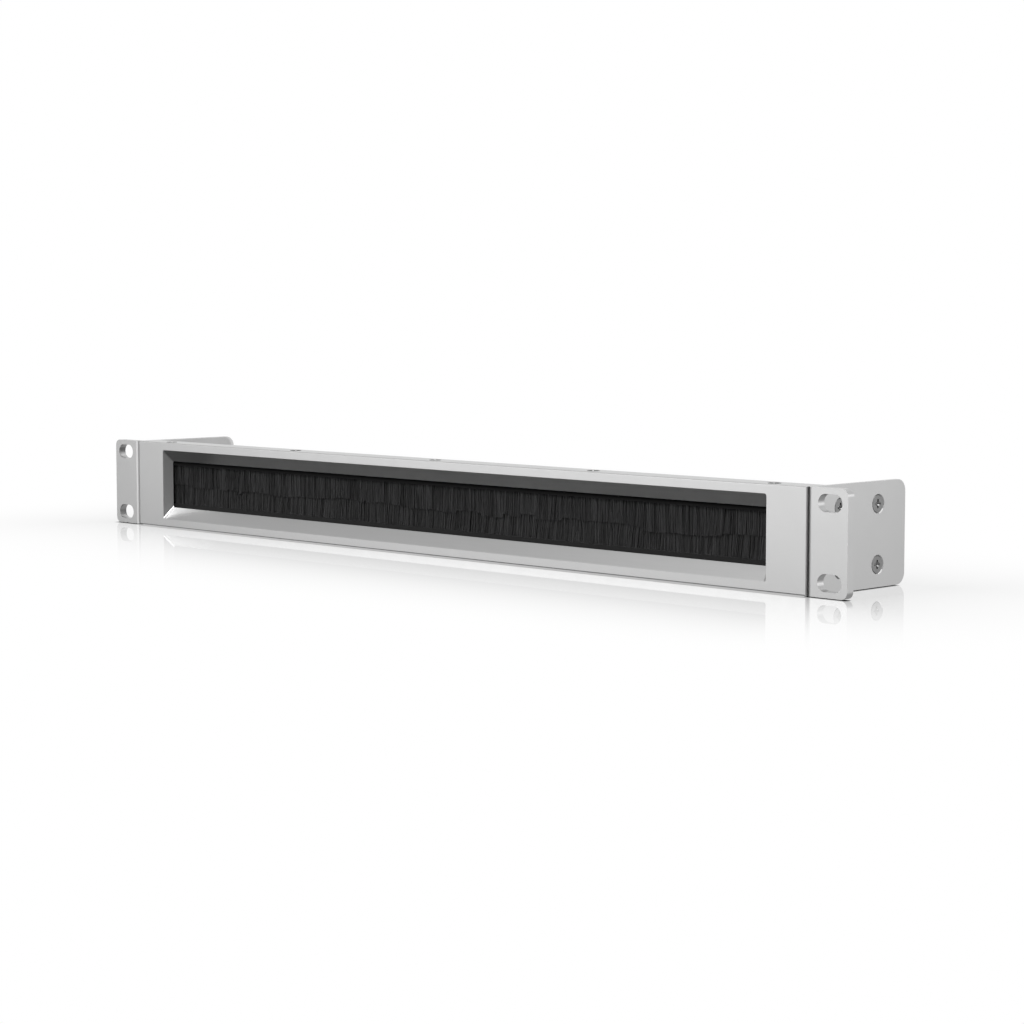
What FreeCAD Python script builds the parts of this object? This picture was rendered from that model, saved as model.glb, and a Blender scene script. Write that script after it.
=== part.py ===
import FreeCAD, Part
import math
import os

# Rack brush strip panel, one rack unit high, for leading cables through a rack front.
# A bevelled aluminium bezel frames two facing brush strips that meet at mid height.
# A folded steel frame behind it carries the strips and the two side brackets, called ears.
#
# X runs along the panel, Y from the front face to the back, Z up, all in millimetres.
# The origin is the middle of the rack slots' pattern, in the plane of the front face.

Vec = FreeCAD.Vector

# Overall sizes
panel_width = 482.6          # across both ears, the 19-inch rack standard
panel_height = 43.7          # one rack unit, less its play
round_sides = 16             # flats round each screw, nut and screw hole, to keep their facets few

# Bezel
bezel_wall = 2.0             # top, bottom and side walls
front_thickness = 2.0
border_height = 3.9          # flat front face above and below the window
side_border = 20.5           # flat front face beside the window
window_corner_radius = 1.2
reveal_depth = 5.0           # front face to the inner edge of the bevelled reveal
reveal_rise = 5.9            # how far the reveal closes in at the top and at the bottom
reveal_run = 2.1             # how far it closes in at each end
reveal_wall = 2.0            # measured in the plane of the front face
bezel_edge_radius = 0.5

# Brush rails
rail_leg = 1.0               # each leg of the rail beside the bristles
rail_slot = 3.3              # room for the bristles between the legs
rail_web = 3.0               # solid back of the rail, which the screws thread into
rail_nose = 1.6              # how far the web reaches forward of the front leg
rail_show = 2.0              # how far the legs stand past the reveal's inner edge
rail_overrun = 6.1           # rail beyond each end of the reveal
rail_end_margin = 4.5        # rail beyond the last screw
rail_corner = 1.0            # chamfer that clears the fold in the rear frame
rail_gap = 0.4               # between rail and reveal
plate_gap = 0.3              # between rail and back plate

# Rear frame
sheet = 1.2
bend_radius = 1.0            # inside the folds
lip_end_gap = 1.0            # between a lip's end and the side of the bezel
notch_gap = 0.3              # between a wing's notch and the bezel
wing_setback = 3.0           # wing's back edge, in front of the ear's
wing_inset = 0.3             # wing's long edges, in from the ear's
wing_corner_radius = 4.0
rear_window_radius = 1.5

# Ears
flange_reach = 20.3          # slotted flange beyond each end of the bezel
flange_thickness = 4.0
flange_corner_radius = 3.0
ear_web = 2.0                # side plate of the ear
ear_depth = 63.0
ear_outer_radius = 2.5       # along the corner beside the bezel
ear_inner_radius = 1.0
ear_rear_radius = 5.0
slot_length = 12.0
slot_width = 7.2
slot_edge = 8.75             # slot's centre, in from the flange's end
slot_spacing_up = 31.75      # between the slot centres of one ear

# Screws that hold the ears, and the screws that hold the rails
ear_screw = {
    "shank": 4.0, "head": 7.6, "length": 6.0, "recess": 4.4, "recess_width": 1.1, "recess_depth": 1.6}
rail_screw = {
    "shank": 3.0, "head": 5.5, "length": 6.0, "recess": 3.0, "recess_width": 0.8, "recess_depth": 1.1}
head_rim = 0.12              # straight edge of a screw head
head_sunk = 0.1              # below the face that it is sunk into
head_gap = 0.1               # round a head, in its countersink
hole_gap = 0.2               # round a shank, in a clearance hole
thread_gap = 0.08            # round a shank, in a threaded hole
recess_floor = 0.45          # size of a cross recess at its floor, against its mouth
ear_screw_pitch = 25.0       # along Y and along Z
ear_screw_first = 19.5       # front face to the first column of screws
rail_screw_count = 5
rail_screw_edge = 1.8        # front edge of the rail to the screws' axis

# Clinch nuts, pressed into the wings
nut_diameter = 8.0
nut_height = 2.4
nut_shank_diameter = 5.3
nut_hole_gap = 0.1

# Brush strips
brush_overrun = 2.5          # bristles beyond each end of the reveal
brush_side_gap = 0.1         # between bristles and rail
wire_diameter = 1.2          # core wire that the bristles are folded round
wire_gap = 0.15
fold_radius = 1.3            # of the bristles, over the wire
tuft_count = 60
tuft_gap_root = 0.25         # between neighbouring tufts, where they leave the rail
tuft_gap_tip = 0.7
tuft_thickness_root = 2.7
tuft_thickness_tip = 2.2
tuft_ridge = 0.1             # how far a tuft's middle stands out past its sides, against its width
tip_gap = 0.4                # between the upper and the lower tips
tip_wander = 1.7             # how far the line where they meet strays from mid height
tuft_sway = 0.35             # of the tips, along the panel
tuft_lean = 0.25             # of the upper tips forward, and of the lower ones back

# Places that follow from the sizes
half_height = panel_height / 2
half_panel = panel_width / 2
half_body = half_panel - flange_reach
bore_half = half_height - bezel_wall
window_half_width = half_body - side_border
window_half_height = half_height - border_height
inner_half_width = window_half_width - reveal_run
inner_half_height = window_half_height - reveal_rise
rail_front = reveal_depth + rail_gap
rail_back = rail_front + 2 * rail_leg + rail_slot
plate_front = rail_back + plate_gap
body_depth = plate_front + sheet
web_front = rail_front - rail_nose
lip_half = bore_half - sheet
slot_top = lip_half - rail_web
leg_end = inner_half_height - rail_show
rail_screw_y = web_front + rail_screw_edge
rail_half = inner_half_width + rail_overrun
rail_screw_last = rail_half - rail_end_margin
brush_half = inner_half_width + brush_overrun
brush_y = rail_front + rail_leg + rail_slot / 2
wire_height = slot_top - brush_side_gap - fold_radius
wing_depth = ear_depth - wing_setback
wing_half = half_height - wing_inset
ear_face = half_body + ear_web
slot_x = half_panel - slot_edge


def box(x0, x1, y0, y1, z0, z1):
    return Part.makeBox(x1 - x0, y1 - y0, z1 - z0, Vec(x0, y0, z0))


def centred_box(half_x, y0, y1, half_z):
    """A block centred on the panel's width and height."""
    return box(-half_x, half_x, y0, y1, -half_z, half_z)


def rounded(shape, radius, *edge_middles):
    """Round off the edges whose middles lie at the given points."""
    near = 0.01
    edges = [
        edge for edge in shape.Edges
        if any(edge.CenterOfMass.isEqual(middle, near) for middle in edge_middles)]
    return shape.makeFillet(radius, edges)


def prism_along_x(section, half_length):
    """Extrude a list of (y, z) corners both ways along the panel."""
    corners = [Vec(-half_length, y, z) for y, z in section]
    face = Part.Face(Part.makePolygon(corners + corners[:1]))
    return face.extrude(Vec(2 * half_length, 0, 0))


def rounded_rectangle(half_x, half_z, radius, y):
    """Closed outline in a plane of constant Y, centred on the panel."""
    outline = []
    corners = [(1, 1), (-1, 1), (-1, -1), (1, -1)]
    for turn, (side_x, side_z) in enumerate(corners):
        centre = Vec(side_x * (half_x - radius), y, side_z * (half_z - radius))
        start, halfway, end = [
            centre + Vec(radius * math.cos(angle), 0, radius * math.sin(angle))
            for angle in (math.radians(90 * turn + step) for step in (0, 45, 90))
        ]
        outline.append((start, halfway, end))
    edges = []
    for corner, following in zip(outline, outline[1:] + outline[:1]):
        edges.append(Part.Arc(*corner).toShape())
        edges.append(Part.LineSegment(corner[2], following[0]).toShape())
    return Part.Wire(edges)


def window_taper(extra):
    """The window's tapering space, from the front face to the reveal's inner edge, grown by extra."""
    front = rounded_rectangle(
        window_half_width + extra, window_half_height + extra, window_corner_radius + extra, 0)
    back = rounded_rectangle(
        inner_half_width + extra, inner_half_height + extra, window_corner_radius + extra, reveal_depth)
    return Part.makeLoft([front, back], True, True)


def placed(shape, position, outward):
    """Move a shape made on the origin, facing up, so that it faces outward at a position."""
    moved = shape.copy()
    moved.Placement = FreeCAD.Placement(position, FreeCAD.Rotation(Vec(0, 0, 1), outward))
    return moved


def upside_down(shape):
    """The same piece for the lower half of the panel."""
    return shape.mirror(Vec(0, 0, 0), Vec(0, 0, 1))


def other_hand(shape):
    """The same piece for the left end of the panel."""
    return shape.mirror(Vec(0, 0, 0), Vec(1, 0, 0))


def flat_sided(*outlines):
    """Solid between level outlines of equally many corners, from the top down, with flat sides."""
    faces = [outlines[0], outlines[-1][::-1]]
    for upper, lower in zip(outlines, outlines[1:]):
        for i in range(len(upper)):
            faces.append([lower[i - 1], lower[i], upper[i], upper[i - 1]])
    return Part.Solid(Part.Shell([Part.Face(Part.makePolygon(face + face[:1])) for face in faces]))


def ring(radius, z):
    """Corners of a regular outline in a level plane, equally many for every small round thing."""
    corners = []
    for i in range(round_sides):
        angle = 2 * math.pi * (i + 0.5) / round_sides
        corners.append(Vec(radius * math.cos(angle), radius * math.sin(angle), z))
    return corners


def turned(*profile):
    """Solid about the Z axis through (radius, z) pairs, from the top down."""
    return flat_sided(*[ring(radius, z) for radius, z in profile])


def cross(span, width, z):
    """Corners of a cross that is span wide, with arms of the given width, in a level plane."""
    reach = span / 2
    half = width / 2
    quarter = [(reach, half), (half, half), (half, reach)]
    corners = []
    for turn in range(4):
        angle = math.radians(90 * turn)
        for x, y in quarter:
            corners.append(Vec(
                x * math.cos(angle) - y * math.sin(angle), x * math.sin(angle) + y * math.cos(angle), z))
    return corners


def countersunk_screw(size):
    """Flat head at the top, facing up, with a cross recess; its face is head_sunk under the origin."""
    head = size["head"] / 2
    shank = size["shank"] / 2
    under_rim = -head_sunk - head_rim
    under_head = under_rim - (head - shank)
    body = turned((head, -head_sunk), (head, under_rim), (shank, under_head), (shank, -size["length"]))
    width = size["recess_width"]
    mouth = cross(size["recess"], width, -head_sunk)
    floor = cross(size["recess"] * recess_floor, width * recess_floor, -head_sunk - size["recess_depth"])
    return body.cut(flat_sided(mouth, floor))


def countersunk_hole(size, depth):
    """Space for a countersunk screw that faces up, to be cut from the wall it holds."""
    mouth = size["head"] / 2 + head_sunk + head_rim + head_gap
    bore = size["shank"] / 2 + hole_gap
    return turned((mouth, 0), (bore, bore - mouth), (bore, -depth))


def rail_screw_places(height):
    """Where the rail screws' axes cross a level plane, evenly spaced from the left end."""
    pitch = 2 * rail_screw_last / (rail_screw_count - 1)
    return [Vec(i * pitch - rail_screw_last, rail_screw_y, height) for i in range(rail_screw_count)]


def ear_screw_places(x):
    """Where the ear screws' axes cross a plane of constant X: a front and a back pair."""
    return [
        Vec(x, ear_screw_first + column * ear_screw_pitch, side * ear_screw_pitch / 2)
        for column in (0, 1) for side in (1, -1)]


def front_bezel():
    """Hollow frame, open at the back, whose window is a bevelled funnel with mitred corners."""
    block = centred_box(half_body, 0, body_depth, half_height)
    block = rounded(
        block, bezel_edge_radius, Vec(0, 0, -half_height), Vec(0, 0, half_height),
        Vec(-half_body, 0, 0), Vec(half_body, 0, 0))
    shell = block.cut(centred_box(half_body - bezel_wall, front_thickness, body_depth, bore_half))
    shell = shell.cut(centred_box(half_body, plate_front, body_depth, bore_half))
    funnel = window_taper(reveal_wall).common(block)
    bezel = shell.fuse(funnel).cut(window_taper(0))
    for place in rail_screw_places(half_height):
        hole = placed(countersunk_hole(rail_screw, bezel_wall), place, Vec(0, 0, 1))
        bezel = bezel.cut([hole, upside_down(hole)])
    return bezel.removeSplitter()


def lip_channel():
    """Back plate with the two lips that are folded forward under the bezel's walls."""
    half_x = half_body - bezel_wall - lip_end_gap
    outside = centred_box(half_x, web_front, body_depth, bore_half)
    outside = rounded(
        outside, bend_radius + sheet, Vec(0, body_depth, bore_half), Vec(0, body_depth, -bore_half))
    inside = centred_box(half_x, web_front, plate_front, lip_half)
    inside = rounded(inside, bend_radius, Vec(0, plate_front, lip_half), Vec(0, plate_front, -lip_half))
    return outside.cut(inside)


def wing_pair():
    """The two wings folded back from the ends of the back plate, with the stretch of plate beside each."""
    outside = centred_box(half_body, plate_front, wing_depth, wing_half)
    outside = rounded(
        outside, bend_radius + sheet, Vec(-half_body, plate_front, 0), Vec(half_body, plate_front, 0))
    inside = centred_box(half_body - sheet, body_depth, wing_depth, wing_half)
    inside = rounded(
        inside, bend_radius, Vec(sheet - half_body, body_depth, 0), Vec(half_body - sheet, body_depth, 0))
    wings = outside.cut(inside)
    wings = wings.cut(centred_box(half_body - bezel_wall - lip_end_gap, plate_front, wing_depth, wing_half))
    notches = centred_box(half_body, plate_front, body_depth + notch_gap, wing_half)
    notches = notches.cut(centred_box(half_body, plate_front, body_depth + notch_gap, bore_half - notch_gap))
    wings = wings.cut(notches)
    corners = [
        Vec(side_x * (half_body - sheet / 2), wing_depth, side_z * wing_half)
        for side_x in (1, -1) for side_z in (1, -1)]
    return rounded(wings, wing_corner_radius, *corners)


def rear_frame():
    """One folded sheet: back plate, lips that the rails are screwed under, and wings for the ears."""
    frame = lip_channel().fuse(wing_pair())
    window = rounded_rectangle(inner_half_width, leg_end, rear_window_radius, plate_front)
    frame = frame.cut(Part.Face(window).extrude(Vec(0, sheet, 0)))
    screw_bore = rail_screw["shank"] / 2 + hole_gap
    screw_hole = turned((screw_bore, 0), (screw_bore, -panel_height))
    nut_bore = nut_shank_diameter / 2 + nut_hole_gap
    nut_hole = turned((nut_bore, 0), (nut_bore, -2 * half_body))
    frame = frame.cut([placed(screw_hole, place, Vec(0, 0, 1)) for place in rail_screw_places(half_height)])
    frame = frame.cut([placed(nut_hole, place, Vec(1, 0, 0)) for place in ear_screw_places(half_body)])
    return frame.removeSplitter()


def upper_brush_rail():
    """Channel that holds the upper bristles: two legs under a web that the screws thread into."""
    slope = reveal_rise / reveal_depth
    nose_low = inner_half_height + reveal_wall + rail_gap
    slot_front = rail_front + rail_leg
    slot_back = slot_front + rail_slot
    section = [
        (web_front, lip_half), (rail_back - rail_corner, lip_half), (rail_back, lip_half - rail_corner),
        (rail_back, leg_end), (slot_back, leg_end), (slot_back, slot_top),
        (slot_front, slot_top), (slot_front, leg_end), (rail_front, leg_end),
        (rail_front, nose_low), (web_front, nose_low + rail_nose * slope)]
    rail = prism_along_x(section, rail_half)
    bore = rail_screw["shank"] / 2 + thread_gap
    hole = turned((bore, 0), (bore, -rail_web))
    return rail.cut([placed(hole, place, Vec(0, 0, 1)) for place in rail_screw_places(lip_half)])


def core_wire(gap):
    """The upper core wire, or with a gap the hole that it runs in."""
    start = Vec(-brush_half, brush_y, wire_height)
    return Part.makeCylinder(wire_diameter / 2 + gap, 2 * brush_half, start, Vec(1, 0, 0))


def folded_root():
    """The part of the upper bristles inside the rail, folded over the core wire."""
    half_y = rail_slot / 2 - brush_side_gap
    top = slot_top - brush_side_gap
    root = box(-brush_half, brush_half, brush_y - half_y, brush_y + half_y, leg_end, top)
    root = rounded(root, fold_radius, Vec(0, brush_y - half_y, top), Vec(0, brush_y + half_y, top))
    return root.cut(core_wire(wire_gap))


def tuft_section(x, y, height, width, thickness):
    """Six corners of a tuft in a level plane, with a ridge along its front and its back."""
    side = thickness / 2 - tuft_ridge * width
    return [
        Vec(x - width / 2, y - side, height), Vec(x, y - thickness / 2, height),
        Vec(x + width / 2, y - side, height), Vec(x + width / 2, y + side, height),
        Vec(x, y + thickness / 2, height), Vec(x - width / 2, y + side, height)]


def tip_line(i):
    """Height, about mid height, at which the tips of tuft pair i meet."""
    return tip_wander * (0.6 * math.sin(0.83 * i + 0.4) + 0.4 * math.sin(2.9 * i))


def bristles(is_upper):
    """One brush as it hangs in the upper rail: a folded root and a comb of tapering tufts."""
    pitch = 2 * brush_half / tuft_count
    direction = 1 if is_upper else -1
    tufts = []
    for i in range(tuft_count):
        x = -brush_half + (i + 0.5) * pitch
        tip_x = x + tuft_sway * math.sin(1.7 * i + direction)
        tip_height = tip_gap / 2 + direction * tip_line(i)
        root_end = tuft_section(
            x, brush_y, leg_end, pitch - tuft_gap_root, tuft_thickness_root)
        tip_end = tuft_section(
            tip_x, brush_y - direction * tuft_lean, tip_height, pitch - tuft_gap_tip, tuft_thickness_tip)
        tufts.append(flat_sided(root_end, tip_end))
    return folded_root().fuse(tufts)


def right_ear():
    """Angle bracket: a slotted flange for the rack and a side plate screwed to the body."""
    flange = box(half_body, half_panel, 0, flange_thickness, -half_height, half_height)
    side = box(half_body, ear_face, 0, ear_depth, -half_height, half_height)
    ear = flange.fuse(side).removeSplitter()
    ear = rounded(ear, ear_outer_radius, Vec(half_body, 0, 0))
    ear = rounded(ear, ear_inner_radius, Vec(ear_face, flange_thickness, 0))
    flange_y = flange_thickness / 2
    ear = rounded(
        ear, flange_corner_radius,
        Vec(half_panel, flange_y, -half_height), Vec(half_panel, flange_y, half_height))
    side_x = half_body + ear_web / 2
    ear = rounded(
        ear, ear_rear_radius, Vec(side_x, ear_depth, -half_height), Vec(side_x, ear_depth, half_height))
    straight = (slot_length - slot_width) / 2
    for side_z in (1, -1):
        centre = Vec(slot_x, 0, side_z * slot_spacing_up / 2)
        for end in (1, -1):
            middle = centre + Vec(end * straight, 0, 0)
            ear = ear.cut(Part.makeCylinder(slot_width / 2, flange_thickness, middle, Vec(0, 1, 0)))
        ear = ear.cut(box(
            centre.x - straight, centre.x + straight, 0, flange_thickness,
            centre.z - slot_width / 2, centre.z + slot_width / 2))
    for place in ear_screw_places(ear_face):
        ear = ear.cut(placed(countersunk_hole(ear_screw, ear_web), place, Vec(1, 0, 0)))
    return ear.removeSplitter()


def clinch_nut():
    """Round self-clinching nut that faces up: its shank's top lies on the origin's plane."""
    bore = ear_screw["shank"] / 2 + thread_gap
    shank = nut_shank_diameter / 2
    body = nut_diameter / 2
    bottom = -sheet - nut_height
    nut = turned((shank, 0), (shank, -sheet)).fuse(turned((body, -sheet), (body, bottom)))
    return nut.cut(turned((bore, 0), (bore, bottom)))


def ear_fasteners():
    """Screws and clinch nuts of both ears, by name."""
    nodes = {}
    for number, place in enumerate(ear_screw_places(ear_face), 1):
        screw = placed(countersunk_screw(ear_screw), place, Vec(1, 0, 0))
        nut = placed(clinch_nut(), place - Vec(ear_web, 0, 0), Vec(1, 0, 0))
        nodes[f"right_ear_screw_{number}"] = screw
        nodes[f"left_ear_screw_{number}"] = other_hand(screw)
        nodes[f"right_clinch_nut_{number}"] = nut
        nodes[f"left_clinch_nut_{number}"] = other_hand(nut)
    return nodes


def rail_fasteners():
    """Screws of the upper and the lower rail, by name."""
    nodes = {}
    for number, place in enumerate(rail_screw_places(half_height), 1):
        screw = placed(countersunk_screw(rail_screw), place, Vec(0, 0, 1))
        nodes[f"top_screw_{number}"] = screw
        nodes[f"bottom_screw_{number}"] = upside_down(screw)
    return nodes


def all_nodes():
    """Every piece of the panel, by name."""
    rail = upper_brush_rail()
    wire = core_wire(0)
    ear = right_ear()
    nodes = {
        "front_bezel": front_bezel(),
        "rear_frame": rear_frame(),
        "upper_brush_rail": rail,
        "lower_brush_rail": upside_down(rail),
        "upper_bristles": bristles(True),
        "lower_bristles": upside_down(bristles(False)),
        "upper_core_wire": wire,
        "lower_core_wire": upside_down(wire),
        "right_ear": ear,
        "left_ear": other_hand(ear),
    }
    nodes.update(ear_fasteners())
    nodes.update(rail_fasteners())
    return nodes


os.makedirs("parts", exist_ok=True)
for name, shape in all_nodes().items():
    shape.exportStep(f"parts/{name}.step")
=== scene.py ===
import bmesh
import bpy
import math
import random
from mathutils import Matrix, Vector


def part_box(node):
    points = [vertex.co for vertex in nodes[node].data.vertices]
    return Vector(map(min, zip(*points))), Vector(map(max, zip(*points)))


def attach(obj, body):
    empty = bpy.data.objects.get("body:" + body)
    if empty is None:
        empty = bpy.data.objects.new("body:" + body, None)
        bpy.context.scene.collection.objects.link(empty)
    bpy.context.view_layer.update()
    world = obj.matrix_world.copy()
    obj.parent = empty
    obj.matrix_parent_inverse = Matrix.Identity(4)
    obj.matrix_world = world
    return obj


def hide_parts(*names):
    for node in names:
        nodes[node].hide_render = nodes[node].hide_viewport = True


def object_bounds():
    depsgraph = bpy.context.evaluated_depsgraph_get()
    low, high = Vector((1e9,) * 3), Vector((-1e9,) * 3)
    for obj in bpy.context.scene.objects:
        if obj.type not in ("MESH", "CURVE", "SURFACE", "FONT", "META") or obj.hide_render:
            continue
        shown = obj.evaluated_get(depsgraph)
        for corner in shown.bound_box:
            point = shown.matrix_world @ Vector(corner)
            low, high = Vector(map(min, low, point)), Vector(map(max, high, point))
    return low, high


# Looks of a one-unit rack brush strip panel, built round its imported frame.
# X runs along the panel, Y from the front face to the back, Z up, all in metres.

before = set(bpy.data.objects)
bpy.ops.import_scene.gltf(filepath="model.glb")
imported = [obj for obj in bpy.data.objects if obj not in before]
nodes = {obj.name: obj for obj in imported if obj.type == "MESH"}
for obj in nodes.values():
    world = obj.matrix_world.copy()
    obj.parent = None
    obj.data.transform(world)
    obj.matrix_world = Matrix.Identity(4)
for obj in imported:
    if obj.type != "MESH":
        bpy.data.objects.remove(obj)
cad_low, cad_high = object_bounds()
mm = 0.001
chance = random.Random(7)

# Finishes: noise in waves a metre, and its tones against the finish's own
coat_mottle = 45
coat_mottle_tones = (0.975, 1.02)
coat_gloss_mottle = 160
coat_gloss_stray = 0.025
coat_grain = 0.35 * mm        # size of the relief on the bezel and the ears
coat_relief = 0.004 * mm
frame_grain = 0.5 * mm        # size of the relief on the rear frame
frame_relief = 0.01 * mm
metal_marks = 2200            # on wires, screws and nuts
metal_mark_tones = (0.86, 1.1)
metal_patches = 500
metal_relief = 0.01 * mm
black_steel_dark = 0.008
black_steel_light = 0.02
black_steel_relief = 0.006 * mm
bare_steel_dark = (0.75, 0.75, 0.74)
bare_steel_light = (0.9, 0.9, 0.89)
anodised_mottle = 300
anodised_tones = (0.8, 1.25)
anodised_grain = 0.3 * mm
anodised_relief = 0.004 * mm
nylon_marks = 900
nylon_marks_stretch = (1, 1, 0.15)
nylon_roughness = (0.42, 0.62)
nylon_sheen = 0.35

# Brushes: the strands
front_strands = 5200          # of each brush, in clumps that lean and bow
back_strands = 5200           # of each brush, straight, so that no light comes through
strand_sides = 4              # of the tube round a curve without any bevel resolution
cap_seam = 1e-7               # a tube's cap and sides join within this
strand_width = 0.36 * mm
back_strand_width = 0.5 * mm
strand_middle_share = 0.9     # a strand's width half way, against its root; a back strand's at its tip
strand_tip_share = 0.85       # the same at a front strand's tip
strand_stray = 0.22 * mm      # of a front tip, along the panel
strand_bow = 0.1 * mm         # of a front strand's middle, along the panel
front_tip_stray = 0.15 * mm   # of a front tip, in height
back_tip_stray = 0.3 * mm     # of a back tip, in height
root_height = 11.5 * mm       # of the strands' roots, from mid height
brush_half_depth = 1.28 * mm  # of the roots
tip_half_depth = 0.8 * mm
front_depths = (-1, 0.2)      # of the front strands, in shares of the half depth
back_depths = (0.1, 1)        # the same for the back strands
brush_margin = 0.3 * mm       # without roots, at each end of a brush
tip_margin = 0.2 * mm         # without tips, at each end of a brush
brush_overlap = 1.8 * mm      # the upper tips pass the lower ones by this much
back_overlap = 5.0 * mm       # the same for the straight strands behind
layer_offset = 0.5 * mm       # the upper tips hang this far in front

# Brushes: the clumps of strands
clump_width = 2.3 * mm        # strands that keep together
clump_lean = 0.30 * mm        # how far a clump's tips stray along the panel
clump_lean_kept = 0.7         # share of its lean that the next clump takes over
clump_lean_lower = 1.5        # lean of the lower clumps, against the upper ones
clump_bow = 0.15 * mm
clump_step = 1.0 * mm         # how far a clump's tips stray in height
clump_step_share = 0.22       # of the clumps, at which the line of tips steps up or down
long_wave = (0.7 * mm, 0.11, 0.6)    # of the line of tips: height, turn from clump to clump, start
short_wave = (0.3 * mm, 0.47, 0)

# Brushes: the fold round the core wire
fold_thickness = 0.75 * mm
fold_steps = 8

# Brushes: tones, from 0 for the darkest nylon to 1 for the lightest
nylon_dark = (0.0075, 0.0075, 0.0077)
nylon_light = (0.041, 0.041, 0.042)
clump_tones = (0.12, 0.42)
# The two brushes are one nylon; the upper is lighter by painted light and the lower darker by painted shade.
upper_clump_painted_light = 0.14       # painted light, added to the upper clumps
lower_clump_painted_shade = -0.1
lock_width = 0.55 * mm        # strands of one tone within a clump
lock_tone_stray = 0.12
strand_tone_stray = 0.1
strand_painted_light_drift = 0.05      # painted light, from the panel's middle to its right end, and as much painted shade to its left end
back_tones = (0.1, 0.35)
fold_tone = 0.3

# The bezel's window, whose cut bevels are a darker finish than its coat, with painted shade that darkens them
# further towards the top
cut_tone_low = 0.88           # of the bevels, against the coat, at the bottom
cut_tone_top_painted_shade = 0.66          # the same at the top, darker still by painted shade
cut_marks = 900
cut_marks_stretch = (0.05, 1, 1)
cut_mark_tones = (0.97, 1.03)
painted_shade_span = 14 * mm            # from mid height to where either tone is reached, over which the painted shade deepens
cut_start = 0.1 * mm          # behind the front face
cut_full = 0.4 * mm
cut_half_height = 19 * mm     # between the window and the bezel's outside
cut_half_length = 202 * mm

# Upper rail, darkened by painted shade and paler towards the lip that the photograph shows, where less shade
# is painted
lip_start = 11.6 * mm
lip_end = 10.1 * mm
lip_painted_lighter_tone = 0.017

# Screws and nuts
turn_steps = 40
turn_seam = 1e-6              # corners on the axis join within this
edge_softness = 0.12 * mm
head_rim = 0.12 * mm          # straight edge of a head
shank_point = 0.2             # chamfer at a screw's end, against its shank
cross_floor = 0.42            # size of a cross recess at its floor, against its mouth
cone_mouth = 0.33             # radius of its round middle, against the cross's span
cone_floor = 0.11
cone_depth = 0.9              # against the cross's depth
cone_sides = 24
cutter_rise = 0.3 * mm        # of a cutter, above the face that it cuts
plate_worn_glint_reach = 1.2 * mm   # from a screw's axis, where a driver has worn it and a glint is painted
black_worn_glint_reach = 1.0 * mm
worn_glint_edge = 0.8               # of that reach is worn in full
ear_screw = {
    "head": 7.2 * mm, "shank": 4 * mm, "length": 5.9 * mm,
    "recess": 4.2 * mm, "recess_width": 1.0 * mm, "recess_depth": 1.7 * mm, "sunk": 0.08 * mm}
rail_screw = {
    "head": 5.5 * mm, "shank": 3 * mm, "length": 5.9 * mm,
    "recess": 2.6 * mm, "recess_width": 0.7 * mm, "recess_depth": 1.2 * mm, "sunk": -0.12 * mm}
ear_screw_count = 4
rail_screw_count = 5
nut_bore = 2.08 * mm          # radius
nut_shank = 2.65 * mm         # radius
nut_radius = 4 * mm
nut_shank_height = 1.2 * mm
nut_height = 2.4 * mm
nut_softness = 0.25 * mm

# Floor
floor_half = 12.0
floor_gap = 0.22 * mm         # shows as a thin dark line under the panel
contact_reach = 2.5 * mm      # floor beside the panel's lower edges that a painted contact shadow darkens
contact_strip = 3.0 * mm      # the same under the panel
contact_shadow_tone = 0.01
ear_corner = 5.0 * mm         # rounded lower corner at the back of the side plates
reflection_reach = 0.155      # floor in front of the panel that still mirrors it
reflection_share = 0.6        # of the floor's look, right beside the panel
reflection_fade = 2.4
shadow_share = 0.06           # of the floor's look, right beside the panel
shadow_fade = 3.0
floor_bounce = 0.06           # grey that lights the panel from below
floor_index = 1.5             # of refraction, for what satin metal mirrors in the floor
metal_floor_reach = 0.12      # floor that satin metal mirrors as darker, by painted shade
metal_floor_painted_shade_tone = 0.05       # of that floor, right beside the panel
metal_floor_far = 0.25        # of the floor further off
metal_floor_behind = 0.5      # of the floor behind the front face

# Room and lamps
room_light = 0.3              # on what isn't metal
wall_light = 0.97             # of the room, as satin metal mirrors it
dark_side = (0.9, -0.44, 0)   # where the room is darker
dark_side_depth = 0.75
dark_side_fade = 2.0
dark_corner = (-0.85, -0.1, 0.52)
dark_corner_depth = 0.28
dark_corner_fade = 30.0
softboxes = (                 # name, place, size and power
    ("front_softbox", (-1.205, -2.02, 0.3), (2.1, 0.9), 9.7),
    ("overhead_softbox", (0.48, -0.26, 1.07), (2.4, 1.8), 15.2),
    ("side_softbox", (1.78, 1.22, 0.35), (1.4, 0.8), 4.1),
    ("key_softbox", (0.33, -1.05, 0.98), (0.7, 0.35), 10),
    ("left_softbox", (-0.54, -0.3, 1.03), (0.4, 0.4), 0.18))

# Camera
camera_place = (0.8133, -0.7575, 0.09525)
camera_turn = (85, 0, 45)     # degrees
camera_lens = 85
camera_sensor = 36
camera_near = 0.01


# Nodes of materials

def add_node(tree, kind, **inputs):
    """Add a shader node and set its inputs by name; a link is given as an output socket."""
    node = tree.nodes.new(kind)
    for name, value in inputs.items():
        socket = node.inputs[name.replace("_", " ")]
        if isinstance(value, bpy.types.NodeSocket):
            tree.links.new(value, socket)
        else:
            socket.default_value = value
    return node


def calculate(tree, operation, first, second=0.0):
    """The result of a Math node on two numbers or output sockets."""
    node = tree.nodes.new("ShaderNodeMath")
    node.operation = operation
    for socket, value in zip(node.inputs, (first, second)):
        if isinstance(value, bpy.types.NodeSocket):
            tree.links.new(value, socket)
        else:
            socket.default_value = value
    return node.outputs[0]


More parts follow.
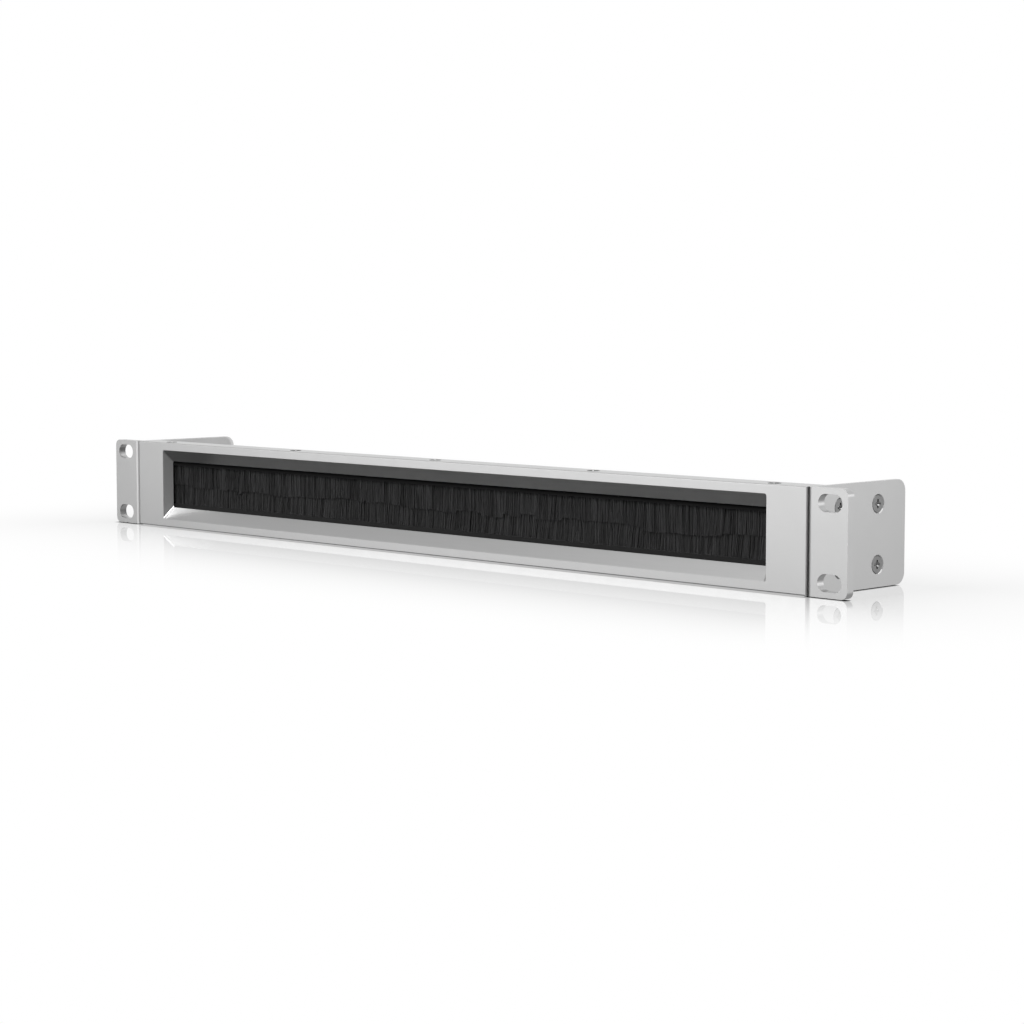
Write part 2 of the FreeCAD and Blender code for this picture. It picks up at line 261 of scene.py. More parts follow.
def mapped(tree, value, start, end, low=0.0, high=1.0):
    """Goes from low to high while a value goes from start to end."""
    node = add_node(
        tree, "ShaderNodeMapRange", Value=value, From_Min=start, From_Max=end, To_Min=low, To_Max=high)
    return node.outputs[0]


def spread(tree, noise, low, high):
    """Noise, most of which lies between 0.3 and 0.7, over a range of numbers."""
    return mapped(tree, noise, 0.3, 0.7, low, high)


def noise_at(tree, coordinates, scale, detail=2.0, stretch=(1, 1, 1)):
    """Noise with a grain of 1/scale metres, stretched along the axes."""
    mapping = add_node(tree, "ShaderNodeMapping", Vector=coordinates)
    mapping.inputs["Scale"].default_value = stretch
    pattern = add_node(tree, "ShaderNodeTexNoise", Vector=mapping.outputs[0], Scale=scale, Detail=detail)
    return pattern.outputs["Fac"]


def grey(tone):
    """A colour with the same tone in all three channels."""
    return (tone, tone, tone)


def scaled(colour, share):
    """A darker or lighter version of a colour."""
    return [min(1, channel * share) for channel in colour]


def blended(tree, share, first, second):
    """One colour going over into another."""
    node = tree.nodes.new("ShaderNodeMix")
    node.data_type = "RGBA"
    sockets = [socket for socket in node.inputs if socket.type == "RGBA"]
    for socket, colour in zip(sockets, (first, second)):
        if isinstance(colour, bpy.types.NodeSocket):
            tree.links.new(colour, socket)
        else:
            socket.default_value = (*colour, 1)
    tree.links.new(share, node.inputs["Factor"])
    return [socket for socket in node.outputs if socket.type == "RGBA"][0]


def mottled(tree, noise, colour, tones):
    """A colour that noise takes from its darker to its lighter tone."""
    dark, light = tones
    return blended(tree, noise, scaled(colour, dark), scaled(colour, light))


def mixed(tree, share, first, second):
    """Two shaders laid over each other, with a share of the second."""
    mix = add_node(tree, "ShaderNodeMixShader", Fac=share)
    tree.links.new(first.outputs[0], mix.inputs[1])
    tree.links.new(second.outputs[0], mix.inputs[2])
    return mix


def vary_gloss(tree, shader, noise, low, high):
    """Let noise take a surface's roughness from low to high."""
    tree.links.new(spread(tree, noise, low, high), shader.inputs["Roughness"])


def roughen(tree, shader, relief, depth):
    """Give a surface a fine relief."""
    bump = add_node(tree, "ShaderNodeBump", Height=relief, Distance=depth, Strength=1.0)
    tree.links.new(bump.outputs[0], shader.inputs["Normal"])


def read_attribute(tree, name):
    """A number that the piece itself carries on its vertices."""
    attribute = tree.nodes.new("ShaderNodeAttribute")
    attribute.attribute_name = name
    return attribute.outputs["Fac"]


def blank_material(name, metallic):
    """A material with its shader, and the object's coordinates to drive it."""
    material = bpy.data.materials.new(name)
    material.use_nodes = True
    tree = material.node_tree
    tree.nodes.clear()
    shader = add_node(tree, "ShaderNodeBsdfPrincipled", Metallic=metallic)
    add_node(tree, "ShaderNodeOutputMaterial", Surface=shader.outputs[0])
    coordinates = tree.nodes.new("ShaderNodeTexCoord").outputs["Object"]
    return material, tree, shader, coordinates


# Finishes

def satin_coat(name, tone, metallic, roughness, grain, depth, cut=None):
    """Fine-grained silver-grey coat: a faint mottle in tone and gloss, and a grain in relief; a cut makes
    bevels of a darker finish, with painted shade that darkens them towards the top.
    """
    material, tree, shader, coordinates = blank_material(name, metallic)
    mottle = noise_at(tree, coordinates, coat_mottle, detail=3)
    colour = mottled(tree, mottle, tone, coat_mottle_tones)
    if cut:
        marks = noise_at(tree, coordinates, cut_marks, stretch=cut_marks_stretch)
        # The bevels' tones: a darker finish at the bottom, and painted shade that darkens them towards the
        # top.
        ends = [
            mottled(tree, marks, scaled(tone, share), cut_mark_tones)
            for share in (cut_tone_low, cut_tone_top_painted_shade)]
        mask, height = cut(tree, coordinates)
        colour = blended(tree, mask, colour, blended(tree, height, *ends))
    tree.links.new(colour, shader.inputs["Base Color"])
    gloss = noise_at(tree, coordinates, coat_gloss_mottle, detail=3)
    vary_gloss(tree, shader, gloss, roughness - coat_gloss_stray, roughness + coat_gloss_stray)
    roughen(tree, shader, noise_at(tree, coordinates, 1 / grain), depth)
    return material


def funnel_cut(tree, coordinates):
    """1 on the window's cut bevels and 0 elsewhere; and 0 to 1 up the bevels' height, over which painted
    shade darkens them.
    """
    place = add_node(tree, "ShaderNodeSeparateXYZ", Vector=coordinates)
    sunk = mapped(tree, place.outputs["Y"], cut_start, cut_full)
    height = calculate(tree, "ABSOLUTE", place.outputs["Z"])
    inside = calculate(tree, "LESS_THAN", height, cut_half_height)
    length = calculate(tree, "ABSOLUTE", place.outputs["X"])
    inside = calculate(tree, "MULTIPLY", inside, calculate(tree, "LESS_THAN", length, cut_half_length))
    # Painted shade: the bevels darken from mid height towards the top.
    painted_shade_rise = mapped(tree, place.outputs["Z"], -painted_shade_span, painted_shade_span)
    return calculate(tree, "MULTIPLY", sunk, inside), painted_shade_rise


def worn_and_glint_share(tree, reach):
    """1 in the middle of a screw's head, where a driver has worn it and a glint is painted, and 0 past a
    reach.
    """
    return mapped(tree, read_attribute(tree, "from_axis"), reach, reach * worn_glint_edge)


def drawn_metal(name, tone, roughness, axis_stretch, worn_glint_tone=None):
    """Plated steel with fine marks along the direction it was drawn or turned in; a worn tone lightens a
    screw's recess, as wear and painted light.
    """
    material, tree, shader, coordinates = blank_material(name, 1.0)
    marks = noise_at(tree, coordinates, metal_marks, detail=3, stretch=axis_stretch)
    colour = mottled(tree, marks, tone, metal_mark_tones)
    # Wear and painted light: a paler recess, where shade would fall.
    if worn_glint_tone:
        colour = blended(tree, worn_and_glint_share(tree, plate_worn_glint_reach), colour, worn_glint_tone)
    tree.links.new(colour, shader.inputs["Base Color"])
    patches = noise_at(tree, coordinates, metal_patches)
    vary_gloss(tree, shader, patches, roughness - 0.05, roughness + 0.06)
    roughen(tree, shader, marks, metal_relief)
    return material


def blackened_steel(name, roughness):
    """Black-oxide steel whose recess a driver has worn bright, with a painted glint, read from the screw
    itself.
    """
    material, tree, shader, coordinates = blank_material(name, 0.0)
    # Wear and a painted glint: bare, bright metal in the recess.
    worn = worn_and_glint_share(tree, black_worn_glint_reach)
    marks = noise_at(tree, coordinates, metal_marks, detail=3)
    black = blended(tree, marks, grey(black_steel_dark), grey(black_steel_light))
    bare = blended(tree, marks, bare_steel_dark, bare_steel_light)
    tree.links.new(blended(tree, worn, black, bare), shader.inputs["Base Color"])
    tree.links.new(worn, shader.inputs["Metallic"])
    vary_gloss(tree, shader, marks, roughness - 0.06, roughness + 0.06)
    shader.inputs["Specular IOR Level"].default_value = 0.0
    roughen(tree, shader, marks, black_steel_relief)
    return material


def black_anodised(name, tone, roughness, sheen, lip=None):
    """Black anodised aluminium with a faint mottle; a lip is its start, its end and its paler tone, a painted
    lightening out of the shade.
    """
    material, tree, shader, coordinates = blank_material(name, 0.0)
    mottle = noise_at(tree, coordinates, anodised_mottle, detail=3)
    colour = mottled(tree, mottle, tone, anodised_tones)
    if lip:
        # Painted light and shade: darker above, paler towards the lip.
        start, end, paler = lip
        place = add_node(tree, "ShaderNodeSeparateXYZ", Vector=coordinates)
        colour = blended(tree, mapped(tree, place.outputs["Z"], start, end), colour, paler)
    tree.links.new(colour, shader.inputs["Base Color"])
    vary_gloss(tree, shader, mottle, roughness - 0.05, roughness + 0.05)
    shader.inputs["Specular IOR Level"].default_value = sheen
    roughen(tree, shader, noise_at(tree, coordinates, 1 / anodised_grain), anodised_relief)
    return material


def nylon_strands(name):
    """Black nylon whose strands differ a little in tone, with painted light and shade between the brushes and
    along the panel, read from the strands themselves.
    """
    material, tree, shader, coordinates = blank_material(name, 0.0)
    tone = blended(tree, read_attribute(tree, "strand_tone"), nylon_dark, nylon_light)
    tree.links.new(tone, shader.inputs["Base Color"])
    along = noise_at(tree, coordinates, nylon_marks, stretch=nylon_marks_stretch)
    vary_gloss(tree, shader, along, *nylon_roughness)
    shader.inputs["Specular IOR Level"].default_value = nylon_sheen
    return material


def give_finish(material, *names):
    """Put a finish on CAD nodes whose shape is right as it is."""
    for name in names:
        mesh = nodes[name].data
        mesh.materials.clear()
        mesh.materials.append(material)


# Pieces

def mesh_from(shape, name):
    """Turn a finished shape into a mesh."""
    mesh = bpy.data.meshes.new(name)
    shape.to_mesh(mesh)
    shape.free()
    return mesh


def finished(name, mesh, material, node):
    """Show a mesh as the piece that stands for a CAD node."""
    mesh.materials.clear()
    mesh.materials.append(material)
    piece = bpy.data.objects.new(name, mesh)
    bpy.context.scene.collection.objects.link(piece)
    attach(piece, "root")
    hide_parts(node)
    return piece


def only(kind, items):
    """The vertices or the edges among what an operator gives back."""
    return [item for item in items if isinstance(item, kind)]


# Brushes

def brush_fold(low, high, wire_low, wire_high, leg_end, side):
    """The strands' bundle inside the rail: a thick sheet folded over the core wire."""
    wire_y = (wire_low.y + wire_high.y) / 2
    wire_z = (wire_low.z + wire_high.z) / 2
    reach = (high.y - low.y) / 2 - fold_thickness / 2
    shape = bmesh.new()
    ends = [shape.verts.new((x, wire_y - reach, leg_end)) for x in (low.x, high.x)]
    edge = shape.edges.new(ends)
    raised = bmesh.ops.extrude_edge_only(shape, edges=[edge])["geom"]
    for vert in only(bmesh.types.BMVert, raised):
        vert.co.z = wire_z
    turned = bmesh.ops.spin(
        shape, geom=only(bmesh.types.BMEdge, raised), cent=(0, wire_y, wire_z), axis=(1, 0, 0),
        angle=-side * math.pi, steps=fold_steps)
    rim = only(bmesh.types.BMEdge, turned["geom_last"])
    lowered = bmesh.ops.extrude_edge_only(shape, edges=rim)["geom"]
    for vert in only(bmesh.types.BMVert, lowered):
        vert.co.z = leg_end
    bmesh.ops.recalc_face_normals(shape, faces=shape.faces)
    bmesh.ops.solidify(shape, geom=shape.faces[:], thickness=fold_thickness / 2)
    bmesh.ops.recalc_face_normals(shape, faces=shape.faces)
    tones = shape.verts.layers.float.new("strand_tone")
    for vert in shape.verts:
        vert[tones] = fold_tone
    for face in shape.faces:
        face.smooth = True
    return shape


def front_strand(x, low, high, side, clump):
    """Three points of a strand in the front half, from its root in the rail to its tip."""
    middle_y = (low.y + high.y) / 2
    depth = chance.uniform(*front_depths)
    root = Vector((x, middle_y + depth * brush_half_depth, side * root_height))
    tip_x = x + clump["lean"] + chance.gauss(0, 1) * strand_stray
    tip_x = min(max(tip_x, low.x + tip_margin), high.x - tip_margin)
    tip_y = middle_y - side * layer_offset + depth * tip_half_depth
    tip_z = clump["tip"] - side * brush_overlap / 2 + chance.gauss(0, 1) * front_tip_stray
    tip = Vector((tip_x, tip_y, tip_z))
    middle = root.lerp(tip, 0.5)
    middle.x += clump["bow"] + chance.gauss(0, 1) * strand_bow
    return root, middle, tip


def back_strand(x, low, high, side):
    """Two points of a straight strand in the back half."""
    y = (low.y + high.y) / 2 + chance.uniform(*back_depths) * brush_half_depth
    tip_z = -side * back_overlap / 2 + chance.gauss(0, 1) * back_tip_stray
    return Vector((x, y, side * root_height)), Vector((x, y, tip_z))


def evenly_along(low, high, count):
    """Places along the panel, one in each of as many equal shares."""
    share = (high.x - low.x - 2 * brush_margin) / count
    return [low.x + brush_margin + (i + chance.random()) * share for i in range(count)]


def wave(i, height, turn, start):
    """Height of a slow wave at a clump's number."""
    return height * math.sin(turn * i + start)


def meeting_heights(count):
    """Height at which the tips of each pair of clumps meet: an uneven, stepped line about mid height."""
    heights = []
    step = 0
    for i in range(count):
        if chance.random() < clump_step_share:
            step = chance.uniform(-1, 1) * clump_step
        heights.append(step + wave(i, *long_wave) + wave(i, *short_wave))
    return heights


def brush_clumps(heights, side):
    """How each clump of strands leans, bows and ends; neighbours often share a lean."""
    lean_share = 1.0 if side > 0 else clump_lean_lower
    # Painted light on the upper clumps and painted shade on the lower ones.
    painted_tone_shift = upper_clump_painted_light if side > 0 else lower_clump_painted_shade
    clumps = []
    lean = 0
    for height in heights:
        lean = clump_lean_kept * lean + chance.gauss(0, 1) * clump_lean
        clumps.append({
            "lean": lean * lean_share, "bow": chance.gauss(0, 1) * clump_bow, "tip": height,
            "tone": chance.uniform(*clump_tones) + painted_tone_shift})
    return clumps


def brush_strands(low, high, side, clumps):
    """The points, the widths against a front root, and the tone of every strand of a brush."""
    lock_count = math.ceil((high.x - low.x) / lock_width)
    locks = [chance.gauss(0, 1) * lock_tone_stray for _ in range(lock_count)]
    front_widths = (1, strand_middle_share, strand_tip_share)
    thick = back_strand_width / strand_width
    back_widths = (thick, strand_middle_share * thick)
    strands = []
    for x in evenly_along(low, high, front_strands):
        clump = clumps[min(int((x - low.x) / clump_width), len(clumps) - 1)]
        tone = clump["tone"] + locks[int((x - low.x) / lock_width)] + chance.gauss(0, 1) * strand_tone_stray
        # Painted light: strands lighter towards the right end and darker towards the left.
        tone += strand_painted_light_drift * x / high.x
        strands.append((front_strand(x, low, high, side, clump), front_widths, tone))
    for x in evenly_along(low, high, back_strands):
        # Painted light along the panel, as on the front strands.
        tone = chance.uniform(*back_tones) + strand_painted_light_drift * x / high.x
        strands.append((back_strand(x, low, high, side), back_widths, tone))
    return strands


def strand_tubes(name, strands):
    """A closed tube along each strand, whose vertices carry the strand's tone."""
    curve = bpy.data.curves.new(name, "CURVE")
    curve.dimensions = "3D"
    curve.bevel_depth = strand_width / 2
    curve.bevel_resolution = 0
    curve.use_fill_caps = True
    for points, widths, _ in strands:
        spline = curve.splines.new("POLY")
        spline.points.add(len(points) - 1)
        for point, place, width in zip(spline.points, points, widths):
            point.co = (*place, 1)
            point.radius = width
    holder = bpy.data.objects.new(name, curve)
    tubes = bpy.data.meshes.new_from_object(holder)
    bpy.data.objects.remove(holder)
    shape = bmesh.new()
    shape.from_mesh(tubes)
    bpy.data.meshes.remove(tubes)

    # A converted curve lists both caps of every tube first, from its last strand to its first.
    cap_verts = 2 * strand_sides
    runs = [(cap_verts, tone) for _, _, tone in reversed(strands)]
    runs += [(len(points) * strand_sides, tone) for points, _, tone in strands]
    tones = shape.verts.layers.float.new("strand_tone")
    tube_verts = iter(shape.verts)
    for count, tone in runs:
        for _ in range(count):
            next(tube_verts)[tones] = min(max(tone, 0), 1)

    # Sides are smooth and caps flat, with a sharp edge between them.
    for face in shape.faces:
        face.smooth = face.verts[0].index >= cap_verts * len(strands)
    bmesh.ops.remove_doubles(shape, verts=shape.verts, dist=cap_seam)
    for face in shape.faces:
        if not face.smooth:
            for edge in face.edges:
                edge.smooth = False
    return mesh_from(shape, name)


def brush(name, node, wire, rail, side, heights, material):
    """One brush: thousands of strands that leave the rail, and the fold that holds them."""
    low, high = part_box(node)
    wire_low, wire_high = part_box(wire)
    rail_low, rail_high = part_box(rail)
    leg_end = rail_low.z if side > 0 else rail_high.z
    clumps = brush_clumps(heights, side)
    tubes = strand_tubes(name, brush_strands(low, high, side, clumps))
    shape = brush_fold(low, high, wire_low, wire_high, leg_end, side)
    shape.from_mesh(tubes)
    finished(name, mesh_from(shape, name), material, node)


# Fasteners

def lathe(profile):
    """Turn (radius, z) corners about the Z axis."""
    shape = bmesh.new()
    verts = [shape.verts.new((radius, 0, z)) for radius, z in profile]
    edges = [shape.edges.new(pair) for pair in zip(verts, verts[1:])]
    bmesh.ops.spin(
        shape, geom=verts + edges, cent=(0, 0, 0), axis=(0, 0, 1), angle=2 * math.pi,
        steps=turn_steps, use_merge=True)
    bmesh.ops.remove_doubles(shape, verts=shape.verts, dist=turn_seam)
    bmesh.ops.recalc_face_normals(shape, faces=shape.faces)
    return shape


def cross_cutter(span, width, depth):
    """Tapered cross that a driver's tip would fill, standing on the origin's plane."""
    # The grid's nine squares reach from -1 to 1; the four at its corners go.
    shape = bmesh.new()
    bmesh.ops.create_grid(shape, x_segments=3, y_segments=3, size=1)
    corners = [face for face in shape.faces if all(abs(v) > 0.5 for v in face.calc_center_median()[:2])]
    bmesh.ops.delete(shape, geom=corners, context="FACES")
    for vert in shape.verts:
        for axis in (0, 1):
            reach = span / 2 if abs(vert.co[axis]) > 0.9 else width / 2
            vert.co[axis] = math.copysign(reach, vert.co[axis])
    bmesh.ops.translate(shape, verts=shape.verts, vec=(0, 0, cutter_rise))
    sunk = bmesh.ops.extrude_face_region(shape, geom=shape.faces[:])
    floor = only(bmesh.types.BMVert, sunk["geom"])
    bmesh.ops.translate(shape, verts=floor, vec=(0, 0, -cutter_rise - depth))
    bmesh.ops.scale(shape, verts=floor, vec=(cross_floor, cross_floor, 1))
    bmesh.ops.recalc_face_normals(shape, faces=shape.faces)
    return shape


def recess_cone(recess, recess_depth):
    """Round middle of a cross recess, which tapers to its floor."""
    height = recess_depth * cone_depth + cutter_rise
    shape = bmesh.new()
    bmesh.ops.create_cone(
        shape, cap_ends=True, segments=cone_sides, radius1=recess * cone_floor,
        radius2=recess * cone_mouth, depth=height)
    bmesh.ops.translate(shape, verts=shape.verts, vec=(0, 0, cutter_rise - height / 2))
    return shape


def carved(shape, cutters, name):
    """Cut some shapes from another, one after the other, and keep the result as a mesh."""
    mesh = mesh_from(shape, name)
    for cutter in cutters:
        body = bpy.data.objects.new(name, mesh)
        tool = bpy.data.objects.new(name + "_cutter", mesh_from(cutter, name + "_cutter"))
        for item in (body, tool):
            bpy.context.scene.collection.objects.link(item)
        cut = body.modifiers.new("cut", "BOOLEAN")
        cut.object = tool
        cut.solver = "EXACT"
        bpy.context.view_layer.update()
        mesh = bpy.data.meshes.new_from_object(body.evaluated_get(bpy.context.evaluated_depsgraph_get()))
        bpy.data.objects.remove(body)
        bpy.data.objects.remove(tool)
    return mesh


def cross_head_screw(head, shank, length, recess, recess_width, recess_depth, sunk):
    """Countersunk screw that faces up, with its head's face sunk under the origin's plane."""
    rim_end = -edge_softness - head_rim
    point = shank * shank_point
    profile = [
        (0, 0), (head / 2 - edge_softness, 0), (head / 2, -edge_softness), (head / 2, rim_end),
        (shank / 2, rim_end - (head - shank) / 2), (shank / 2, point + sunk - length),
        (shank / 2 - point, sunk - length), (0, sunk - length)]
    cutters = [cross_cutter(recess, recess_width, recess_depth), recess_cone(recess, recess_depth)]
    mesh = carved(lathe(profile), cutters, "cross_head_screw")
    mesh.transform(Matrix.Translation((0, 0, -sunk)))
    from_axis = mesh.attributes.new("from_axis", "FLOAT", "POINT")
    for vert, value in zip(mesh.vertices, from_axis.data):
        value.value = vert.co.xy.length
    return mesh


def clinch_nut():
    """Round self-clinching nut that faces up, with softened edges and a plain bore."""
    flange = -nut_shank_height
    bottom = flange - nut_height
    profile = [
        (nut_bore, 0), (nut_shank, 0), (nut_shank, flange), (nut_radius - nut_softness, flange),
        (nut_radius, flange - nut_softness), (nut_radius, bottom + nut_softness),
        (nut_radius - nut_softness, bottom), (nut_bore + nut_softness, bottom),
        (nut_bore, bottom + nut_softness), (nut_bore, 0)]
    return mesh_from(lathe(profile), "clinch_nut")


def fit_fastener(mesh, node, outward, finish):
    """Show a copy of a fastener that faces up, turned outward on its CAD node's outer face."""
    low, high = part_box(node)
    half = (high - low) / 2
    place = (low + high) / 2 + Vector([half[axis] * outward[axis] for axis in range(3)])
    turn = Vector((0, 0, 1)).rotation_difference(outward).to_matrix().to_4x4()
    name = node + "_fine"
    copy = mesh.copy()
    copy.name = name
    copy.transform(Matrix.Translation(place) @ turn)
    finished(name, copy, finish, node)


def ear_fasteners(screw_finish, nut_finish):
    """Finer screws and clinch nuts for both ears."""
    screw = cross_head_screw(**ear_screw)
    nut = clinch_nut()
    for hand, outward in (("right", Vector((1, 0, 0))), ("left", Vector((-1, 0, 0)))):
        for number in range(1, ear_screw_count + 1):
            fit_fastener(screw, f"{hand}_ear_screw_{number}", outward, screw_finish)
            fit_fastener(nut, f"{hand}_clinch_nut_{number}", outward, nut_finish)


def rail_fasteners(screw_finish):
    """Finer screws for the upper and the lower rail."""
    screw = cross_head_screw(**rail_screw)
    for row, outward in (("top", Vector((0, 0, 1))), ("bottom", Vector((0, 0, -1)))):
        for number in range(1, rail_screw_count + 1):
            fit_fastener(screw, f"{row}_screw_{number}", outward, screw_finish)


# Studio

def distance_from_panel(tree, place):
    """How far a spot of the floor lies outside the panel's outline, seen from above."""
    middle_y = (cad_low.y + cad_high.y) / 2
    past_end = calculate(tree, "SUBTRACT", calculate(tree, "ABSOLUTE", place.outputs["X"]), cad_high.x)
    past_end = calculate(tree, "MAXIMUM", past_end)
    from_middle = calculate(tree, "ABSOLUTE", calculate(tree, "SUBTRACT", place.outputs["Y"], middle_y))
    past_side = calculate(tree, "MAXIMUM", calculate(tree, "SUBTRACT", from_middle, cad_high.y - middle_y))
    squares = calculate(
        tree, "ADD", calculate(tree, "POWER", past_end, 2), calculate(tree, "POWER", past_side, 2))
    return calculate(tree, "SQRT", squares)


def nearness_within(tree, distance, reach):
    """1 beside the panel, falling to 0 at a reach from it."""
    left = calculate(tree, "SUBTRACT", 1.0, calculate(tree, "DIVIDE", distance, reach))
    return calculate(tree, "MAXIMUM", left)


def faded(tree, nearness, fade, share):
    """A share of the floor's look beside the panel, which fades with the distance."""
    return calculate(tree, "MULTIPLY", calculate(tree, "POWER", nearness, fade), share)


def edge_shade(tree, distance):
    """1 in a strip under an edge, falling to 0 outside it, by the distance out from the edge."""
    shade = mapped(tree, distance, contact_reach, 0)
    strip = calculate(tree, "GREATER_THAN", distance, -contact_strip)
    return calculate(tree, "MULTIPLY", shade, strip)


def between(tree, value, low, high, shade):
    """A shade that holds only while a value is above low and below high."""
    shade = calculate(tree, "MULTIPLY", shade, calculate(tree, "LESS_THAN", value, high))
    return calculate(tree, "MULTIPLY", shade, calculate(tree, "GREATER_THAN", value, low))


def painted_contact_shadow(tree, place):
    """Painted contact shadow: 1 under the ears' flanges and side plates, falling to 0 a little outside them.
    """
    from_middle = calculate(tree, "ABSOLUTE", place.outputs["X"])
    before_front = calculate(tree, "SUBTRACT", cad_low.y, place.outputs["Y"])
    front = between(
        tree, from_middle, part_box("front_bezel")[1].x, cad_high.x, edge_shade(tree, before_front))
    plate_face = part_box("right_ear_screw_1")[1].x
    beside_plate = calculate(tree, "SUBTRACT", from_middle, plate_face)
    side = between(
        tree, place.outputs["Y"], cad_low.y, cad_high.y - ear_corner, edge_shade(tree, beside_plate))
    return calculate(tree, "MAXIMUM", front, side)


def floor_in_metal(tree, place, distance, mirror):
    """The floor as satin metal mirrors it, a painted reflection that glows: darker beside the panel by
    painted shade, paler behind its front face.
    """
    # Painted shade in what metal mirrors: the glowing floor darkens beside the panel.
    beside = nearness_within(tree, distance, metal_floor_reach)
    darker = calculate(tree, "MULTIPLY", beside, metal_floor_far - metal_floor_painted_shade_tone)
    tone = calculate(tree, "SUBTRACT", metal_floor_far, darker)
    past_front = calculate(tree, "GREATER_THAN", place.outputs["Y"], cad_low.y)
    tone = calculate(tree, "MAXIMUM", tone, calculate(tree, "MULTIPLY", past_front, metal_floor_behind))
    glow = add_node(tree, "ShaderNodeEmission", Strength=tone)
    gloss = add_node(tree, "ShaderNodeFresnel", IOR=floor_index)
    return mixed(tree, gloss.outputs[0], glow, mirror)


def glossy_white_floor():
    """White where it is looked at, with a mirror image, a soft shadow and a painted contact shadow by the
    panel.
    """
    material = bpy.data.materials.new("glossy_white_floor")
    material.use_nodes = True
    tree = material.node_tree
    tree.nodes.clear()
    coordinates = tree.nodes.new("ShaderNodeTexCoord").outputs["Object"]
    place = add_node(tree, "ShaderNodeSeparateXYZ", Vector=coordinates)
    distance = distance_from_panel(tree, place)
    nearness = nearness_within(tree, distance, reflection_reach)
    mirror = add_node(tree, "ShaderNodeBsdfGlossy", Roughness=0.0)
    glow = add_node(tree, "ShaderNodeEmission", Strength=1.0)
    shaded = add_node(tree, "ShaderNodeBsdfDiffuse", Color=(*grey(1.0), 1))
    seen = mixed(tree, faded(tree, nearness, shadow_fade, shadow_share), glow, shaded)
    seen = mixed(tree, faded(tree, nearness, reflection_fade, reflection_share), seen, mirror)
    # Painted contact shadow: a near-black floor under and just beside the ears' lower edges.
    painted_contact_shade = add_node(tree, "ShaderNodeBsdfDiffuse", Color=(*grey(contact_shadow_tone), 1))
    seen = mixed(tree, painted_contact_shadow(tree, place), seen, painted_contact_shade)
    painted = add_node(tree, "ShaderNodeBsdfDiffuse", Color=(*grey(floor_bounce), 1))
    path = tree.nodes.new("ShaderNodeLightPath")
    lit = mixed(
        tree, path.outputs["Is Glossy Ray"], painted, floor_in_metal(tree, place, distance, mirror))
    looked_at = calculate(tree, "MAXIMUM", path.outputs["Is Camera Ray"], path.outputs["Is Transmission Ray"])
    surface = mixed(tree, looked_at, lit, seen)
    add_node(tree, "ShaderNodeOutputMaterial", Surface=surface.outputs[0])
    return material


def studio_floor():
    """Floor that mirrors the panel close by and fades to plain white."""
    shape = bmesh.new()
    bmesh.ops.create_grid(shape, x_segments=1, y_segments=1, size=floor_half)
    bmesh.ops.translate(shape, verts=shape.verts, vec=(0, 0, cad_low.z - floor_gap))
    floor = bpy.data.objects.new("studio_floor", mesh_from(shape, "studio_floor"))
    bpy.context.scene.collection.objects.link(floor)
    floor.data.materials.append(glossy_white_floor())


def darkness_towards(tree, direction, aim, fade, depth):
    """How much darker the room is towards a side, fading away from it."""
    facing = tree.nodes.new("ShaderNodeVectorMath")
    facing.operation = "DOT_PRODUCT"
    facing.inputs[1].default_value = aim
    tree.links.new(direction, facing.inputs[0])
    ahead = calculate(tree, "MAXIMUM", facing.outputs["Value"])
    return calculate(tree, "MULTIPLY", calculate(tree, "POWER", ahead, fade), depth)


def white_room():
    """White where it is looked at or mirrored, and a softer light on the panel itself."""
    world = bpy.data.worlds.new("white_room")
    world.use_nodes = True
    bpy.context.scene.world = world
    tree = world.node_tree
    tree.nodes.clear()
    direction = tree.nodes.new("ShaderNodeTexCoord").outputs["Generated"]
    side = darkness_towards(tree, direction, dark_side, dark_side_fade, dark_side_depth)
    corner = darkness_towards(tree, direction, dark_corner, dark_corner_fade, dark_corner_depth)
    wall_tone = calculate(tree, "SUBTRACT", calculate(tree, "SUBTRACT", wall_light, side), corner)
    lighting = add_node(tree, "ShaderNodeBackground", Color=(*grey(1.0), 1), Strength=room_light)
    walls = add_node(tree, "ShaderNodeBackground", Color=(*grey(1.0), 1), Strength=wall_tone)
    backdrop = add_node(tree, "ShaderNodeBackground", Color=(*grey(1.0), 1), Strength=1.0)
    path = tree.nodes.new("ShaderNodeLightPath")
    on_panel = mixed(tree, path.outputs["Is Glossy Ray"], lighting, walls)
    looked_at = calculate(tree, "MAXIMUM", path.outputs["Is Camera Ray"], path.outputs["Is Singular Ray"])
    looked_at = calculate(tree, "MAXIMUM", looked_at, path.outputs["Is Transmission Ray"])
    room = mixed(tree, looked_at, on_panel, backdrop)
    add_node(tree, "ShaderNodeOutputWorld", Surface=room.outputs[0])


def softbox(name, place, size, power):
    """Rectangular lamp that faces the panel's middle."""
    lamp = bpy.data.lights.new(name, "AREA")
    lamp.shape = "RECTANGLE"
    lamp.size, lamp.size_y = size
    lamp.energy = power
    holder = bpy.data.objects.new(name, lamp)
    holder.location = place
    holder.rotation_euler = (-Vector(place)).to_track_quat("-Z", "Y").to_euler()
    bpy.context.scene.collection.objects.link(holder)


def camera():
    """The camera that took the photograph, as it was fitted to the rack's standard sizes."""
    lens = bpy.data.cameras.new("camera")
    lens.lens = camera_lens
    lens.sensor_width = camera_sensor
    lens.clip_start = camera_near
    holder = bpy.data.objects.new("camera", lens)
    holder.location = camera_place
    holder.rotation_euler = [math.radians(angle) for angle in camera_turn]
    bpy.context.scene.collection.objects.link(holder)
    bpy.context.scene.camera = holder


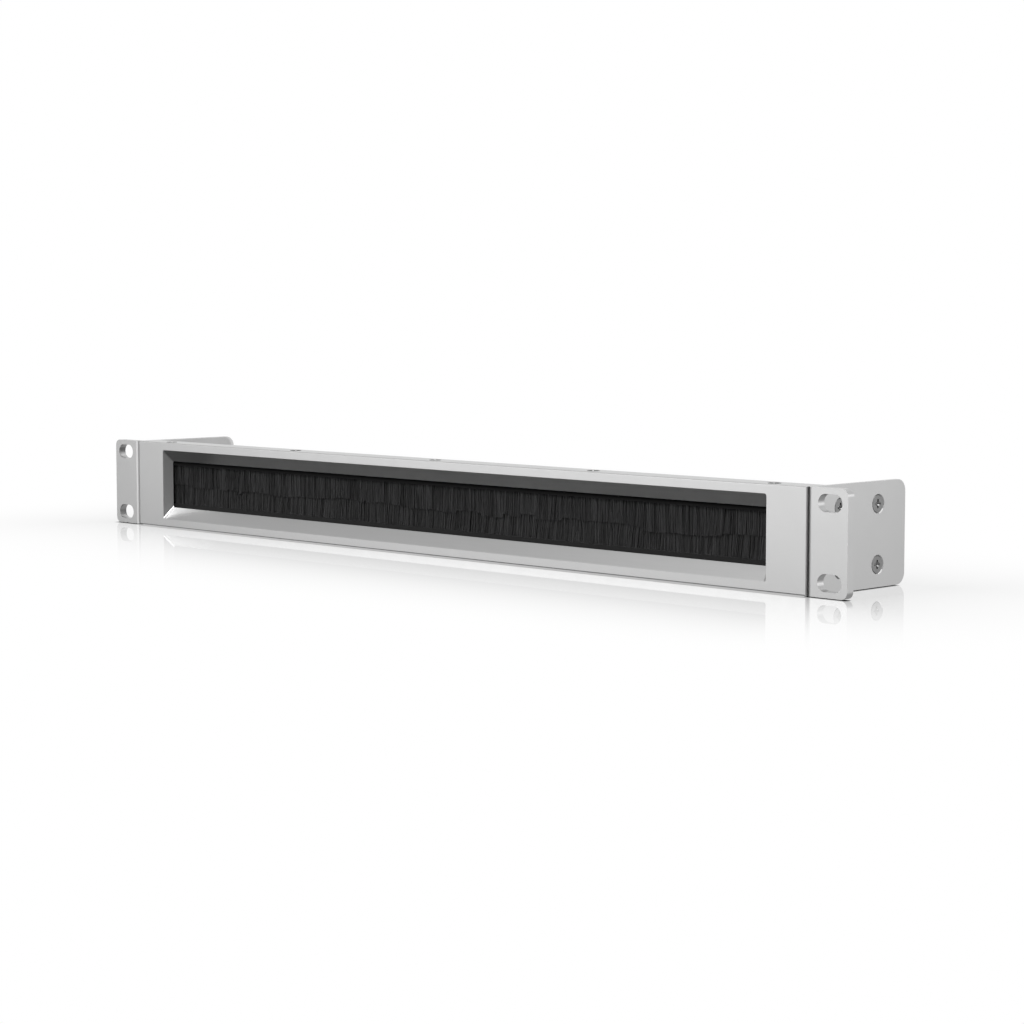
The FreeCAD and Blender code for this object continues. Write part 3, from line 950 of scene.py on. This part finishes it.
# CAD nodes that keep their shape
# The bezel's coat paints shade on the window's bevels, darker towards the top.
bezel_coat = satin_coat("silver_bezel_coat", grey(0.47), 0.9, 0.30, coat_grain, coat_relief, funnel_cut)
ear_coat = satin_coat("silver_ear_coat", grey(0.472), 0.9, 0.30, coat_grain, coat_relief)
frame_coat = satin_coat("silver_frame_coat", grey(0.46), 0.6, 0.42, frame_grain, frame_relief)
# The upper rail's darker, duller coat is painted shade: the same black anodising as the lower rail, darkened
# where the top reveal shades it.
upper_rail_painted_shade_coat = black_anodised(
    "black_rail_painted_shade", grey(0.0015), 0.6, 0.01, (lip_start, lip_end, grey(lip_painted_lighter_tone)))
lower_rail_coat = black_anodised("satin_black_rail", grey(0.012), 0.55, 0.12)
wire_zinc = drawn_metal("galvanised_wire", grey(0.5), 0.4, (0.05, 1, 1))
give_finish(bezel_coat, "front_bezel")
give_finish(ear_coat, "left_ear", "right_ear")
give_finish(frame_coat, "rear_frame")
give_finish(upper_rail_painted_shade_coat, "upper_brush_rail")
give_finish(lower_rail_coat, "lower_brush_rail")
give_finish(wire_zinc, "upper_core_wire", "lower_core_wire")

# Brushes
strand_nylon = nylon_strands("black_nylon_strands")
brush_low, brush_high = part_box("upper_bristles")
tip_line = meeting_heights(math.ceil((brush_high.x - brush_low.x) / clump_width))
brush("upper_brush", "upper_bristles", "upper_core_wire", "upper_brush_rail", 1, tip_line, strand_nylon)
brush("lower_brush", "lower_bristles", "lower_core_wire", "lower_brush_rail", -1, tip_line, strand_nylon)

# Fasteners
# The ear screws' paler recesses are wear and painted light.
screw_plate = drawn_metal("satin_plated_screw", grey(0.215), 0.32, (1, 1, 1), grey(0.55))
nut_zinc = drawn_metal("bright_zinc_nut", (0.55, 0.55, 0.54), 0.3, (0.2, 1, 1))
rail_screw_black = blackened_steel("blackened_steel_screw", 0.5)
ear_fasteners(screw_plate, nut_zinc)
rail_fasteners(rail_screw_black)

# Studio
studio_floor()
white_room()
for lamp in softboxes:
    softbox(*lamp)
camera()
bpy.context.scene.view_settings.view_transform = "Standard"
